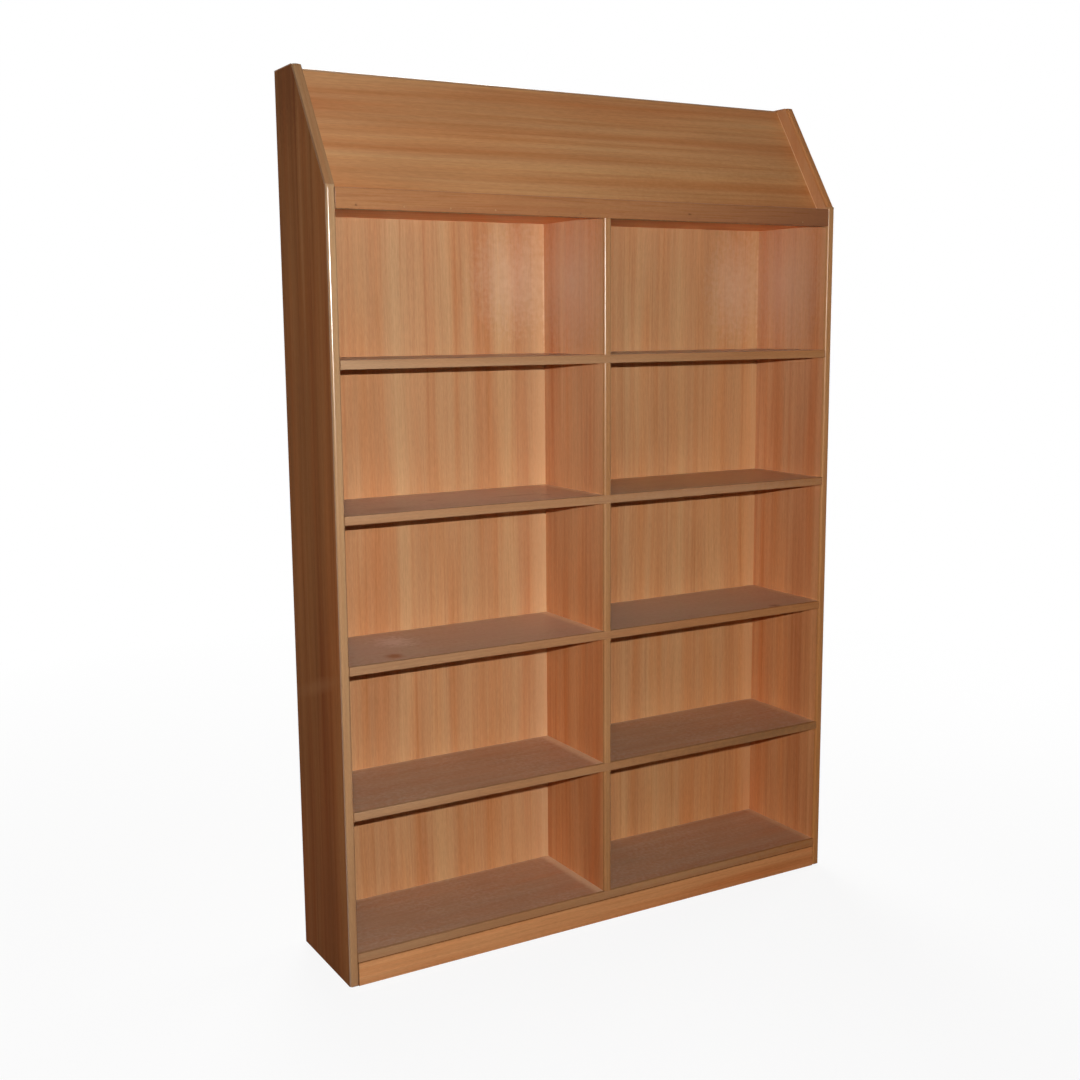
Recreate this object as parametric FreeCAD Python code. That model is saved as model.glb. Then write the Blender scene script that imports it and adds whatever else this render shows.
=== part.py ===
import FreeCAD, Part
import math
import os

# Tall library bookcase: two bays of fixed shelves below a sloping display
# header. It is made of veneered boards with solid beech lippings on every
# front edge, a recessed plinth and a thin rebated back, all dowelled together.
#
# X runs across the front, Y from the front to the back and Z up. The origin
# is on the floor under the middle of the case. Sizes are in millimetres.

# ---- Boards ----
board = 19.0                  # veneered board: sides, shelves, dividers, plinth
lipping = 8.0                 # depth of the solid lippings
lipping_arris = 5.0           # rounding of the lippings' two front arrises
edging = 2.0                  # strip on the level top edge of each side
least_flat = 1.0              # flat left beside a rounding in a thin piece

# ---- Bays and openings ----
bay_width = 636.0             # clear width of one bay
opening_height = 300.0        # clear height of one opening
shelf_count = 4               # shelves between the bottom shelf and the top board
case_depth = 272.0            # front of the lippings to the back of the sides

# ---- Plinth ----
plinth_height = 55.0          # floor to the underside of the bottom shelf
plinth_setback = 2.0          # plinth face behind the front of the lippings
corner_block_leg = 34.0       # the two glued legs of a corner block
corner_block_floor_gap = 6.0  # corner blocks stay clear of the floor

# ---- Front rail and header ----
rail_height = 42.0            # height of the rail, which is also the book stop
rail_drop = 4.0               # rail hangs this far below the top board
rail_recess = 1.0             # rail face behind the front of the lippings
rail_arris = 2.5              # rounding of the rail's long edges
header_height = 255.0         # height of the sloping part of the sides
top_flat = 108.0              # level top edge of each side, front to back
slope_rise = 5.0              # the sides begin to slope this far above the rail
slope_step = 3.0              # sloping lipping behind the upright one at its foot
nose_radius = 6.0             # rounded top end of the upright lipping
foot_radius = 6.0             # rounded bottom end of the upright lipping
top_corner_radius = 9.0       # rounded top end of the sloping lipping
ledge_depth = 9.0             # top board left bare between the rail and the display panel
batten_width = 40.0           # battens behind the foot of the display panel
batten_height = 28.0

# ---- Back ----
back_thickness = 6.0          # back panels, let into a rebate in each side
back_lap = 9.5                # how far a back panel laps onto a side
back_joint = 0.5              # gap between the two back panels
back_floor_gap = 5.0          # back panels stop short of the floor
rebate_clearance = 0.5        # rebate is longer and wider than the back panel

# ---- Dowels ----
dowel_radius = 4.0
dowel_length = 30.0
dowel_clearance = 0.1         # hole radius over dowel radius
dowel_end_gap = 1.0           # hole runs past each end of the dowel
blind_skin = 6.0              # board left behind a blind hole
dowel_inset = 38.0            # first and last dowel from the edges of a board
divider_dowel_reach = 15.0    # dowel length held in each divider piece

# ---- Screws through the back panels ----
screw_head_radius = 3.4
screw_shank_radius = 1.7
screw_length = 16.0
screw_point = 3.4             # length of the tapered point
screw_sink = 0.2              # head below the face of the back panel
screw_slot_length = 4.2
screw_slot_width = 0.8
screw_slot_depth = 1.0
screw_clearance = 0.1
screws_per_bay = 3            # along each board behind one bay

# ---- Pins through the front rail ----
pin_radius = 1.0
pin_length = 38.0
pin_clearance = 0.05
pin_height = 4.0              # above the underside of the top board
pin_pitch = 106.0
pin_first_inset = 43.5        # first pin from the left end of the rail
pin_last_inset = 40.0         # least distance from the right end
filler_radius = 2.0           # stopping over the head of each pin
filler_depth = 2.0

# ---- Places worked out from the sizes above ----
half_width = bay_width + 1.5 * board
inner_x = half_width - board
front_y = -case_depth / 2
back_y = case_depth / 2
core_front_y = front_y + lipping
back_front_y = back_y - back_thickness
level_pitch = opening_height + board
bottom_shelf_z = plinth_height
top_opening_z = bottom_shelf_z + board + shelf_count * level_pitch
rail_bottom_z = top_opening_z + opening_height
rail_top_z = rail_bottom_z + rail_height
rail_front_y = front_y + rail_recess
rail_back_y = rail_front_y + board
top_board_z = rail_bottom_z + rail_drop
top_board_top_z = top_board_z + board
plinth_front_y = front_y + plinth_setback
plinth_front_back_y = plinth_front_y + board
plinth_back_y = back_front_y - board
end_reach = board - blind_skin - dowel_end_gap    # dowel length held in a blind hole

# The slope of the sides, on the line of its lippings' faces: its two ends, the
# direction along it and the direction square to it that points into the board.
kink_z = rail_top_z + slope_rise
top_z = kink_z + header_height
slope_foot = (front_y + slope_step, kink_z)
slope_head = (back_y - top_flat, top_z)
slope_length = math.dist(slope_foot, slope_head)
slope_y = (slope_head[0] - slope_foot[0]) / slope_length
slope_z = (slope_head[1] - slope_foot[1]) / slope_length
inward_y = slope_z
inward_z = -slope_y


def slope_line_y(z, inward=0.0):
    """Y of the slope's line at height z, or of a line this far inside it."""
    return slope_foot[0] + (z - slope_foot[1]) * slope_y / slope_z + inward / slope_z


# The display panel is parallel to the slope, stands on the top board and ends
# level with the sides. The rail that closes the header is level with the glue
# line of its top lipping.
display_setback = rail_back_y + ledge_depth - slope_line_y(top_board_top_z)
display_top_z = top_z
display_core_top_z = display_top_z - lipping * slope_z
top_rail_z = display_core_top_z + board * inward_z
top_rail_underside_z = top_rail_z - board


def display_line_y(z, inward=0.0):
    """Y of the display panel's face at height z, or of a line this far behind it."""
    return slope_line_y(z, inward) + display_setback


# ---- Helpers ----

def box(x_low, x_high, y_low, y_high, z_low, z_high):
    corner = FreeCAD.Vector(x_low, y_low, z_low)
    return Part.makeBox(x_high - x_low, y_high - y_low, z_high - z_low, corner)


def rounded_corner(before, corner, after):
    """Start, crown and end of the arc that rounds a corner (u, v, radius)."""
    tip = FreeCAD.Vector(corner[0], corner[1], 0)
    to_before = (FreeCAD.Vector(before[0], before[1], 0) - tip).normalize()
    to_after = (FreeCAD.Vector(after[0], after[1], 0) - tip).normalize()
    half_angle = to_before.getAngle(to_after) / 2
    radius = corner[2]
    tangent = radius / math.tan(half_angle)
    crown_distance = radius / math.sin(half_angle) - radius
    crown = tip + (to_before + to_after).normalize() * crown_distance
    return tip + to_before * tangent, crown, tip + to_after * tangent


def outline_face(corners, place):
    """Flat face with corners (u, v, radius); place(u, v) gives the point in space."""
    count = len(corners)
    rounded = []
    for index, corner in enumerate(corners):
        flat_points = rounded_corner(corners[index - 1], corner, corners[(index + 1) % count])
        rounded.append([place(point.x, point.y) for point in flat_points])
    edges = []
    for index, (start, crown, end) in enumerate(rounded):
        if corners[index][2] > 0:
            edges.append(Part.Arc(start, crown, end).toShape())
        next_start = rounded[(index + 1) % count][0]
        edges.append(Part.makeLine(end, next_start))
    return Part.Face(Part.Wire(edges))


def side_prism(corners, x_low, x_high):
    """Prism along X from an outline of (y, z, radius) corners."""
    face = outline_face(corners, lambda y, z: FreeCAD.Vector(x_low, y, z))
    return face.extrude(FreeCAD.Vector(x_high - x_low, 0, 0))


def square_prism(points, x_low, x_high):
    """Prism along X from an outline of square (y, z) corners."""
    return side_prism([(y, z, 0.0) for y, z in points], x_low, x_high)


def strip(place, run):
    """Lipping of a board: u runs across its edge, v inwards from the rounded front."""
    arris = min(lipping_arris, lipping - least_flat, board / 2 - least_flat)
    corners = [(0, 0, arris), (board, 0, arris), (board, lipping, 0), (0, lipping, 0)]
    return outline_face(corners, place).extrude(run)


def drilled(blank, holes):
    """The blank without those of the holes that reach it."""
    near = [hole for hole in holes if hole.BoundBox.intersect(blank.BoundBox)]
    return blank.cut(near) if near else blank


def mirrored(shape):
    return shape.mirror(FreeCAD.Vector(0, 0, 0), FreeCAD.Vector(1, 0, 0))


def along_y(radius, y_low, y_high, x, z):
    start = FreeCAD.Vector(x, y_low, z)
    return Part.makeCylinder(radius, y_high - y_low, start, FreeCAD.Vector(0, 1, 0))


def turned(x, z, profile):
    """Solid turned about the line along Y at (x, z) from (radius, y) points."""
    points = [FreeCAD.Vector(x + radius, y, z) for radius, y in profile]
    face = Part.Face(Part.makePolygon(points + [points[0]]))
    return face.revolve(FreeCAD.Vector(x, 0, z), FreeCAD.Vector(0, 1, 0), 360)


# ---- Levels of the shelves ----

def shelf_underside(level):
    """Underside of the bottom shelf (level 0) or of a shelf above it."""
    return bottom_shelf_z + level * level_pitch


def shelf_top(level):
    return shelf_underside(level) + board


def levels():
    return range(shelf_count + 1)


# ---- Dowels; grow is the clearance of a hole, which is also longer ----

def end_dowels(places, grow=0.0):
    """Dowels from both ends of a board into the sides, at each (y, z)."""
    end_gap = dowel_end_gap if grow else 0.0
    x_low = inner_x + end_reach - dowel_length - end_gap
    found = []
    for y, z in places:
        start = FreeCAD.Vector(x_low, y, z)
        length = dowel_length + 2 * end_gap
        right = Part.makeCylinder(dowel_radius + grow, length, start, FreeCAD.Vector(1, 0, 0))
        found += [mirrored(right), right]
    return found


def upright_dowel(y, z_low, z_high, grow=0.0):
    end_gap = dowel_end_gap if grow else 0.0
    start = FreeCAD.Vector(0, y, z_low - end_gap)
    return Part.makeCylinder(dowel_radius + grow, z_high - z_low + 2 * end_gap, start)


def three_places(y_low, y_high, z):
    """Places of three dowels across a board between y_low and y_high."""
    first = y_low + dowel_inset
    last = y_high - dowel_inset
    return [(y, z) for y in (first, (first + last) / 2, last)]


def shelf_dowel_places():
    places = []
    for level in levels():
        places += three_places(core_front_y, back_front_y, shelf_underside(level) + board / 2)
    return places + three_places(rail_back_y, back_front_y, top_board_z + board / 2)


def plinth_dowel_places():
    """One dowel in each plinth board, the front one clear of the side's lipping."""
    middle_z = plinth_height / 2
    return [
        ((core_front_y + plinth_front_back_y) / 2, middle_z),
        ((plinth_back_y + back_front_y) / 2, middle_z),
    ]


def rail_dowel_places():
    return [((core_front_y + rail_back_y) / 2, (rail_bottom_z + rail_top_z) / 2)]


def top_rail_dowel_places():
    middle_z = top_rail_z - board / 2
    return [((display_line_y(middle_z, board) + back_front_y) / 2, middle_z)]


def display_dowel_places():
    zs = (top_board_top_z + dowel_inset, display_top_z - dowel_inset)
    return [(display_line_y(z, board / 2), z) for z in zs]


def header_dowel_places():
    return rail_dowel_places() + top_rail_dowel_places() + display_dowel_places()


def divider_dowels(grow=0.0):
    """Dowels through every shelf into the pieces above and below it."""
    found = []
    for y in (core_front_y + dowel_inset, back_front_y - dowel_inset):
        for level in levels():
            z_low = shelf_underside(level) - divider_dowel_reach
            z_high = shelf_top(level) + divider_dowel_reach
            found.append(upright_dowel(y, z_low, z_high, grow))
        found.append(upright_dowel(y, top_board_z - divider_dowel_reach, top_board_z + end_reach, grow))
    return found


# ---- Screws ----

def screw_profile(head_y, grow):
    """Half section of a countersunk screw, from its point to the rim of its head."""
    head_radius = screw_head_radius + grow
    shank_radius = screw_shank_radius + grow
    tip_y = back_y - screw_sink - screw_length - grow
    return [
        (0, tip_y),
        (shank_radius, tip_y + screw_point),
        (shank_radius, head_y - head_radius + shank_radius),
        (head_radius, head_y),
    ]


def back_screw(x, z):
    """Countersunk screw with a cross slot, put in from the back."""
    head_y = back_y - screw_sink
    body = turned(x, z, screw_profile(head_y, 0.0) + [(0, head_y)])
    reach = screw_slot_length / 2
    half = screw_slot_width / 2
    floor_y = head_y - screw_slot_depth
    level_slot = box(x - reach, x + reach, floor_y, back_y, z - half, z + half)
    upright_slot = box(x - half, x + half, floor_y, back_y, z - reach, z + reach)
    return body.cut([level_slot, upright_slot])


def screw_hole(x, z):
    """Hole for a back screw, countersunk and open at the back face."""
    seat_y = back_y - screw_sink - screw_clearance
    mouth_radius = screw_head_radius + screw_clearance
    return turned(x, z, screw_profile(seat_y, screw_clearance) + [(mouth_radius, back_y), (0, back_y)])


def screws_along_boards():
    """(x, z) of the screws into the plinth, the shelves, the top board and the top rail."""
    spacing = bay_width / screws_per_bay
    right_bay = [board / 2 + spacing * (index + 0.5) for index in range(screws_per_bay)]
    xs = [-x for x in reversed(right_bay)] + right_bay
    zs = [plinth_height / 2]
    zs += [shelf_underside(level) + board / 2 for level in levels()]
    zs += [top_board_z + board / 2, top_rail_z - board / 2]
    return [(x, z) for z in zs for x in xs]


def screws_up_panel_edges():
    """(x, z) of the screws into the sides, the dividers and the header's web."""
    divider_x = (back_joint + board) / 4
    side_x = inner_x + back_lap / 2
    xs = (-side_x, -divider_x, divider_x, side_x)
    zs = [shelf_top(level) + opening_height / 2 for level in levels()]
    zs.append((top_board_top_z + top_rail_underside_z) / 2)
    return [(x, z) for z in zs for x in xs]


def screw_places():
    return screws_along_boards() + screws_up_panel_edges()


def screw_holes():
    return [screw_hole(x, z) for x, z in screw_places()]


# ---- Pins through the rail into the edge of the top board ----

def pin_xs():
    usable = 2 * inner_x - pin_first_inset - pin_last_inset
    count = int(usable // pin_pitch) + 1
    return [-inner_x + pin_first_inset + index * pin_pitch for index in range(count)]


def rail_pins(grow=0.0):
    start_y = rail_front_y + filler_depth
    end_y = start_y + pin_length + grow
    return [along_y(pin_radius + grow, start_y, end_y, x, top_board_z + pin_height) for x in pin_xs()]


def rail_fillers(grow=0.0):
    radius = filler_radius + grow
    end_y = rail_front_y + filler_depth
    return [along_y(radius, rail_front_y, end_y, x, top_board_z + pin_height) for x in pin_xs()]


# ---- Sides, of which the left one is made and the right one mirrored ----

def left_side_panel():
    """Left side without its lippings, rebated for the back and drilled."""
    slab = square_prism(
        [
            (core_front_y, 0),
            (core_front_y, kink_z),
            (slope_line_y(kink_z, lipping), kink_z),
            (slope_line_y(top_z - edging, lipping), top_z - edging),
            (back_y, top_z - edging),
            (back_y, 0),
        ],
        -half_width, -inner_x,
    )
    rebate_x = -inner_x - back_lap - rebate_clearance
    rebate = box(rebate_x, -inner_x, back_front_y, back_y, 0, top_rail_z + rebate_clearance)
    places = shelf_dowel_places() + plinth_dowel_places() + header_dowel_places()
    return drilled(slab.cut(rebate), end_dowels(places, dowel_clearance) + screw_holes())


def left_front_lipping():
    """Upright lipping of the left side, rounded over at its foot and its top."""
    foot = min(foot_radius, lipping - least_flat)
    nose = max(nose_radius, slope_step)
    nose_turn = math.acos(1 - slope_step / nose)
    nose_start_z = kink_z - nose * math.sin(nose_turn)

    def point(y, z):
        return FreeCAD.Vector(-half_width, y, z)

    def on_foot(turn):
        return point(front_y + foot * (1 - math.cos(turn)), foot * (1 - math.sin(turn)))

    def on_nose(turn):
        return point(front_y + nose * (1 - math.cos(turn)), nose_start_z + nose * math.sin(turn))

    quarter = math.pi / 2
    outline = [
        Part.makeLine(point(core_front_y, kink_z), point(core_front_y, 0)),
        Part.makeLine(point(core_front_y, 0), on_foot(quarter)),
        Part.Arc(on_foot(quarter), on_foot(quarter / 2), on_foot(0)).toShape(),
        Part.makeLine(on_foot(0), on_nose(0)),
        Part.Arc(on_nose(0), on_nose(nose_turn / 2), on_nose(nose_turn)).toShape(),
        Part.makeLine(on_nose(nose_turn), point(core_front_y, kink_z)),
    ]
    side_view = Part.Face(Part.Wire(outline)).extrude(FreeCAD.Vector(board, 0, 0))
    upright = strip(
        lambda u, v: FreeCAD.Vector(-half_width + u, front_y + v, 0),
        FreeCAD.Vector(0, 0, kink_z),
    )
    return upright.common(side_view)


def left_slope_lipping():
    """Sloping lipping of the left side, cut level at its foot and rounded at its head."""
    overrun = 2 * lipping
    start_y = slope_foot[0] - slope_y * overrun
    start_z = slope_foot[1] - slope_z * overrun

    def place(u, v):
        return FreeCAD.Vector(-half_width + u, start_y + inward_y * v, start_z + inward_z * v)

    run_length = slope_length + 2 * overrun
    sloping = strip(place, FreeCAD.Vector(0, slope_y * run_length, slope_z * run_length))
    level_width = lipping / slope_z
    head_angle = math.acos(-slope_y)
    head_radius = min(top_corner_radius, (level_width - least_flat) * math.tan(head_angle / 2))
    side_view = side_prism(
        [
            (slope_foot[0], kink_z, 0),
            (slope_head[0], top_z, head_radius),
            (slope_head[0] + level_width, top_z, 0),
            (slope_foot[0] + level_width, kink_z, 0),
        ],
        -half_width, -inner_x,
    )
    return sloping.common(side_view)


def left_top_edging():
    """Strip along the level top edge of the left side."""
    return square_prism(
        [
            (slope_line_y(top_z - edging, lipping), top_z - edging),
            (slope_line_y(top_z, lipping), top_z),
            (back_y, top_z),
            (back_y, top_z - edging),
        ],
        -half_width, -inner_x,
    )


def side_parts():
    left_parts = {
        "side_panel": left_side_panel(),
        "front_lipping": left_front_lipping(),
        "slope_lipping": left_slope_lipping(),
        "top_edging": left_top_edging(),
    }
    parts = {}
    for name, shape in left_parts.items():
        parts["left_" + name] = shape
        parts["right_" + name] = mirrored(shape)
    return parts


# ---- Shelves and dividers ----

def shelf(level):
    blank = box(-inner_x, inner_x, core_front_y, back_front_y, shelf_underside(level), shelf_top(level))
    holes = end_dowels(shelf_dowel_places(), dowel_clearance) + divider_dowels(dowel_clearance)
    return drilled(blank, holes + screw_holes())


def shelf_lipping(level):
    """Lipping along the full-width front edge of a shelf."""
    def place(u, v):
        return FreeCAD.Vector(-inner_x, front_y + v, shelf_underside(level) + u)

    return strip(place, FreeCAD.Vector(2 * inner_x, 0, 0))


def shelf_parts():
    parts = {}
    for level in levels():
        name = "shelf_%d" % level if level else "bottom_shelf"
        parts[name] = shelf(level)
        parts[name + "_lipping"] = shelf_lipping(level)
    return parts


def divider(level):
    """Divider between a shelf and the next; the highest one fits round the rail."""
    z_high = top_board_z if level == shelf_count else shelf_underside(level + 1)
    blank = box(-board / 2, board / 2, core_front_y, back_front_y, shelf_top(level), z_high)
    return drilled(blank.cut(rail_blank()), divider_dowels(dowel_clearance) + screw_holes())


def divider_lipping(level):
    def place(u, v):
        return FreeCAD.Vector(u - board / 2, front_y + v, shelf_top(level))

    return strip(place, FreeCAD.Vector(0, 0, opening_height))


def divider_parts():
    parts = {}
    for level in levels():
        name = "divider_%d" % (level + 1)
        parts[name] = divider(level)
        parts[name + "_lipping"] = divider_lipping(level)
    return parts


# ---- Header ----

def rail_blank():
    return box(-inner_x, inner_x, rail_front_y, rail_back_y, rail_bottom_z, rail_top_z)


def front_rail():
    """Solid rail, rounded on the edges that show, drilled for its dowels and pins."""
    arris = min(rail_arris, (board - least_flat) / 2)
    rounded = side_prism(
        [
            (rail_front_y, rail_bottom_z, arris),
            (rail_front_y, rail_top_z, arris),
            (rail_back_y, rail_top_z, arris),
            (rail_back_y, rail_bottom_z, 0),
        ],
        -inner_x, inner_x,
    )
    holes = end_dowels(rail_dowel_places(), dowel_clearance)
    return drilled(rounded, holes + rail_pins(pin_clearance) + rail_fillers(pin_clearance))


def top_board():
    blank = box(-inner_x, inner_x, rail_back_y, back_front_y, top_board_z, top_board_top_z)
    holes = end_dowels(shelf_dowel_places(), dowel_clearance) + divider_dowels(dowel_clearance)
    return drilled(blank, holes + screw_holes() + rail_pins(pin_clearance))


def display_panel():
    """Sloping panel between the sides, standing on the top board."""
    blank = square_prism(
        [
            (display_line_y(top_board_top_z), top_board_top_z),
            (display_line_y(display_core_top_z), display_core_top_z),
            (display_line_y(top_rail_z, board), top_rail_z),
            (display_line_y(top_board_top_z, board), top_board_top_z),
        ],
        -inner_x, inner_x,
    )
    return drilled(blank, end_dowels(display_dowel_places(), dowel_clearance))


def display_panel_lipping():
    """Lipping on the top edge of the display panel."""
    def place(u, v):
        y = display_line_y(display_top_z) + inward_y * u - slope_y * v
        z = display_top_z + inward_z * u - slope_z * v
        return FreeCAD.Vector(-inner_x, y, z)

    return strip(place, FreeCAD.Vector(2 * inner_x, 0, 0))


def header_top_rail():
    """Level rail that closes the header from the display panel to the back."""
    blank = square_prism(
        [
            (display_line_y(top_rail_underside_z, board), top_rail_underside_z),
            (display_line_y(top_rail_z, board), top_rail_z),
            (back_front_y, top_rail_z),
            (back_front_y, top_rail_underside_z),
        ],
        -inner_x, inner_x,
    )
    return drilled(blank, end_dowels(top_rail_dowel_places(), dowel_clearance) + screw_holes())


def header_centre_web():
    """Upright board behind the middle of the display panel; it backs the joint of the back."""
    blank = square_prism(
        [
            (display_line_y(top_board_top_z, board), top_board_top_z),
            (display_line_y(top_rail_underside_z, board), top_rail_underside_z),
            (back_front_y, top_rail_underside_z),
            (back_front_y, top_board_top_z),
        ],
        -board / 2, board / 2,
    )
    return drilled(blank, screw_holes())


def left_header_batten():
    """Bevelled batten of the left bay, glued behind the foot of the display panel."""
    foot_y = display_line_y(top_board_top_z, board)
    high_z = top_board_top_z + batten_height
    return square_prism(
        [
            (foot_y, top_board_top_z),
            (display_line_y(high_z, board), high_z),
            (foot_y + batten_width, high_z),
            (foot_y + batten_width, top_board_top_z),
        ],
        -inner_x, -board / 2,
    )


def header_parts():
    return {
        "front_rail": front_rail(),
        "top_board": top_board(),
        "display_panel": display_panel(),
        "display_panel_lipping": display_panel_lipping(),
        "header_top_rail": header_top_rail(),
        "header_centre_web": header_centre_web(),
        "left_header_batten": left_header_batten(),
        "right_header_batten": mirrored(left_header_batten()),
    }


# ---- Plinth ----

def plinth_board(y_low):
    blank = box(-inner_x, inner_x, y_low, y_low + board, 0, plinth_height)
    return drilled(blank, end_dowels(plinth_dowel_places(), dowel_clearance) + screw_holes())


def plinth_centre_bearer():
    """Bearer under the divider, between the front and back of the plinth."""
    blank = box(-board / 2, board / 2, plinth_front_back_y, plinth_back_y, 0, plinth_height)
    return drilled(blank, divider_dowels(dowel_clearance))


def left_corner_block(y_corner, inwards):
    """Three-cornered glue block at the left end of a plinth board."""
    points = [
        FreeCAD.Vector(-inner_x, y_corner, corner_block_floor_gap),
        FreeCAD.Vector(-inner_x + corner_block_leg, y_corner, corner_block_floor_gap),
        FreeCAD.Vector(-inner_x, y_corner + inwards * corner_block_leg, corner_block_floor_gap),
    ]
    face = Part.Face(Part.makePolygon(points + [points[0]]))
    return face.extrude(FreeCAD.Vector(0, 0, plinth_height - corner_block_floor_gap))


def plinth_parts():
    front_block = left_corner_block(plinth_front_back_y, 1)
    back_block = left_corner_block(plinth_back_y, -1)
    return {
        "plinth_front": plinth_board(plinth_front_y),
        "plinth_back": plinth_board(plinth_back_y),
        "plinth_centre_bearer": plinth_centre_bearer(),
        "left_front_corner_block": front_block,
        "right_front_corner_block": mirrored(front_block),
        "left_back_corner_block": back_block,
        "right_back_corner_block": mirrored(back_block),
    }


# ---- Back ----

def left_back_panel():
    blank = box(-inner_x - back_lap, -back_joint / 2, back_front_y, back_y, back_floor_gap, top_rail_z)
    return drilled(blank, screw_holes())


def back_parts():
    return {
        "left_back_panel": left_back_panel(),
        "right_back_panel": mirrored(left_back_panel()),
    }


# ---- Fasteners, each kind a group of separate solids ----

def fastener_parts():
    return {
        "shelf_dowels": Part.makeCompound(end_dowels(shelf_dowel_places())),
        "divider_dowels": Part.makeCompound(divider_dowels()),
        "plinth_dowels": Part.makeCompound(end_dowels(plinth_dowel_places())),
        "header_dowels": Part.makeCompound(end_dowels(header_dowel_places())),
        "back_screws": Part.makeCompound([back_screw(x, z) for x, z in screw_places()]),
        "rail_pins": Part.makeCompound(rail_pins()),
        "rail_fillers": Part.makeCompound(rail_fillers()),
    }


def build():
    case = [side_parts(), shelf_parts(), divider_parts(), header_parts(), plinth_parts(), back_parts()]
    parts = {}
    for group in case + [fastener_parts()]:
        parts.update(group)
    return parts


os.makedirs("parts", exist_ok=True)
for node, shape in build().items():
    shape.exportStep("parts/%s.step" % node)
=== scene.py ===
import bpy
import bmesh
import itertools
import math
from mathutils import Matrix, Vector


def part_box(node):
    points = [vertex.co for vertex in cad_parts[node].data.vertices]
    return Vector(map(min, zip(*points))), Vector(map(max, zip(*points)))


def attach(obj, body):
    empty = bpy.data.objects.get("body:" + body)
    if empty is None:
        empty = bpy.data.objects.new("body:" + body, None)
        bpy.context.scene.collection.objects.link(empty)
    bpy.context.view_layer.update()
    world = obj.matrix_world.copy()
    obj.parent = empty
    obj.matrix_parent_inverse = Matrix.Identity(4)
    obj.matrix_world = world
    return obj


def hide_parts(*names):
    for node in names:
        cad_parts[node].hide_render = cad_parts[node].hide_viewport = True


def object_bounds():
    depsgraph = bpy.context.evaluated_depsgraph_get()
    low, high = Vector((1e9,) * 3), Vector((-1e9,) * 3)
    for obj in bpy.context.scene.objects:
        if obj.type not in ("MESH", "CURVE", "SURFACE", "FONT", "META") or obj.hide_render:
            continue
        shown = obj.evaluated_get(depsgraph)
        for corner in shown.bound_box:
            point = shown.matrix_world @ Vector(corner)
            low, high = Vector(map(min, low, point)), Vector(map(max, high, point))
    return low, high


# A tall beech library bookcase: two bays of fixed shelves, a rail that stops
# the books and a sloping display panel above it. Metres, in the CAD frame.

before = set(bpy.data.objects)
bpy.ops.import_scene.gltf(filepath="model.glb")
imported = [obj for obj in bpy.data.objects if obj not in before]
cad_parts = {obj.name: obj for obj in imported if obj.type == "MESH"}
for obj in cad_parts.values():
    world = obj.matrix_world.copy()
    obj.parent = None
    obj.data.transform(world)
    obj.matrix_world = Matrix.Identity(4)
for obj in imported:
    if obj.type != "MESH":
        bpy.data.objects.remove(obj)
frameLow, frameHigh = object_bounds()
print("frame loaded:", len(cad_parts), "nodes")

axisX, axisY, axisZ = Vector((1, 0, 0)), Vector((0, 1, 0)), Vector((0, 0, 1))
white = (1.0, 1.0, 1.0, 1.0)


# Small helpers for objects, materials and trees

def linkObject(name, data):
    thing = bpy.data.objects.new(name, data)
    bpy.context.scene.collection.objects.link(thing)
    return thing


# A colour given as 0 to 255, as it looks on a screen.
def paint(red, green, blue):
    def toLinear(value):
        value /= 255
        return value / 12.92 if value <= 0.04045 else ((value + 0.055) / 1.055) ** 2.4
    return (toLinear(red), toLinear(green), toLinear(blue), 1.0)


def liveSocket(sockets, name):
    if isinstance(name, int):
        return sockets[name]
    return next(socket for socket in sockets if socket.name == name and socket.enabled)


def sourceOf(value):
    if isinstance(value, bpy.types.Node):
        return next(socket for socket in value.outputs if socket.enabled)
    return value if isinstance(value, bpy.types.NodeSocket) else None


# Links a node or a socket to an input, or sets the input to a plain value.
def feed(tree, socket, value):
    source = sourceOf(value)
    if source:
        tree.links.new(source, socket)
    else:
        socket.default_value = value


def addNode(tree, kind, inputs=None, **settings):
    node = tree.nodes.new(kind)
    for name, value in settings.items():
        setattr(node, name, value)
    for name, value in (inputs or {}).items():
        feed(tree, liveSocket(node.inputs, name), value)
    return node


def calc(tree, operation, first, second=0.0, third=0.0):
    return addNode(tree, "ShaderNodeMath", {0: first, 1: second, 2: third}, operation=operation)


def times(tree, first, second):
    return calc(tree, "MULTIPLY", first, second)


def minus(tree, first, second):
    return calc(tree, "SUBTRACT", first, second)


def vectorCalc(tree, operation, first, second):
    name = "Scale" if operation == "SCALE" else 1
    return addNode(tree, "ShaderNodeVectorMath", {0: first, name: second}, operation=operation)


def distanceTo(tree, place):
    return addNode(tree, "ShaderNodeVectorMath", {0: place}, operation="LENGTH").outputs["Value"]


def split(tree, vector):
    return addNode(tree, "ShaderNodeSeparateXYZ", {0: vector}).outputs


def combine(tree, x=0.0, y=0.0, z=0.0):
    return addNode(tree, "ShaderNodeCombineXYZ", {"X": x, "Y": y, "Z": z})


def remap(tree, value, low, high, toLow=0.0, toHigh=1.0):
    inputs = {"Value": value, "From Min": low, "From Max": high, "To Min": toLow, "To Max": toHigh}
    return addNode(tree, "ShaderNodeMapRange", inputs, clamp=True)


def mixColor(tree, amount, first, second, blend="MIX"):
    inputs = {0: amount, 6: first, 7: second}     # the Mix node's colour sockets are its 6 and 7
    return addNode(tree, "ShaderNodeMix", inputs, data_type="RGBA", blend_type=blend).outputs[2]


def tinted(tree, color, tint):
    return mixColor(tree, 1.0, color, tint, "MULTIPLY")


def noise(tree, place, scale, detail):
    return addNode(tree, "ShaderNodeTexNoise", {"Vector": place, "Scale": scale, "Detail": detail})


def raised(tree, height, distance):
    return addNode(tree, "ShaderNodeBump", {"Height": height, "Strength": 1.0, "Distance": distance})


def objectPlace(tree):
    return addNode(tree, "ShaderNodeTexCoord").outputs["Object"]


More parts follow.
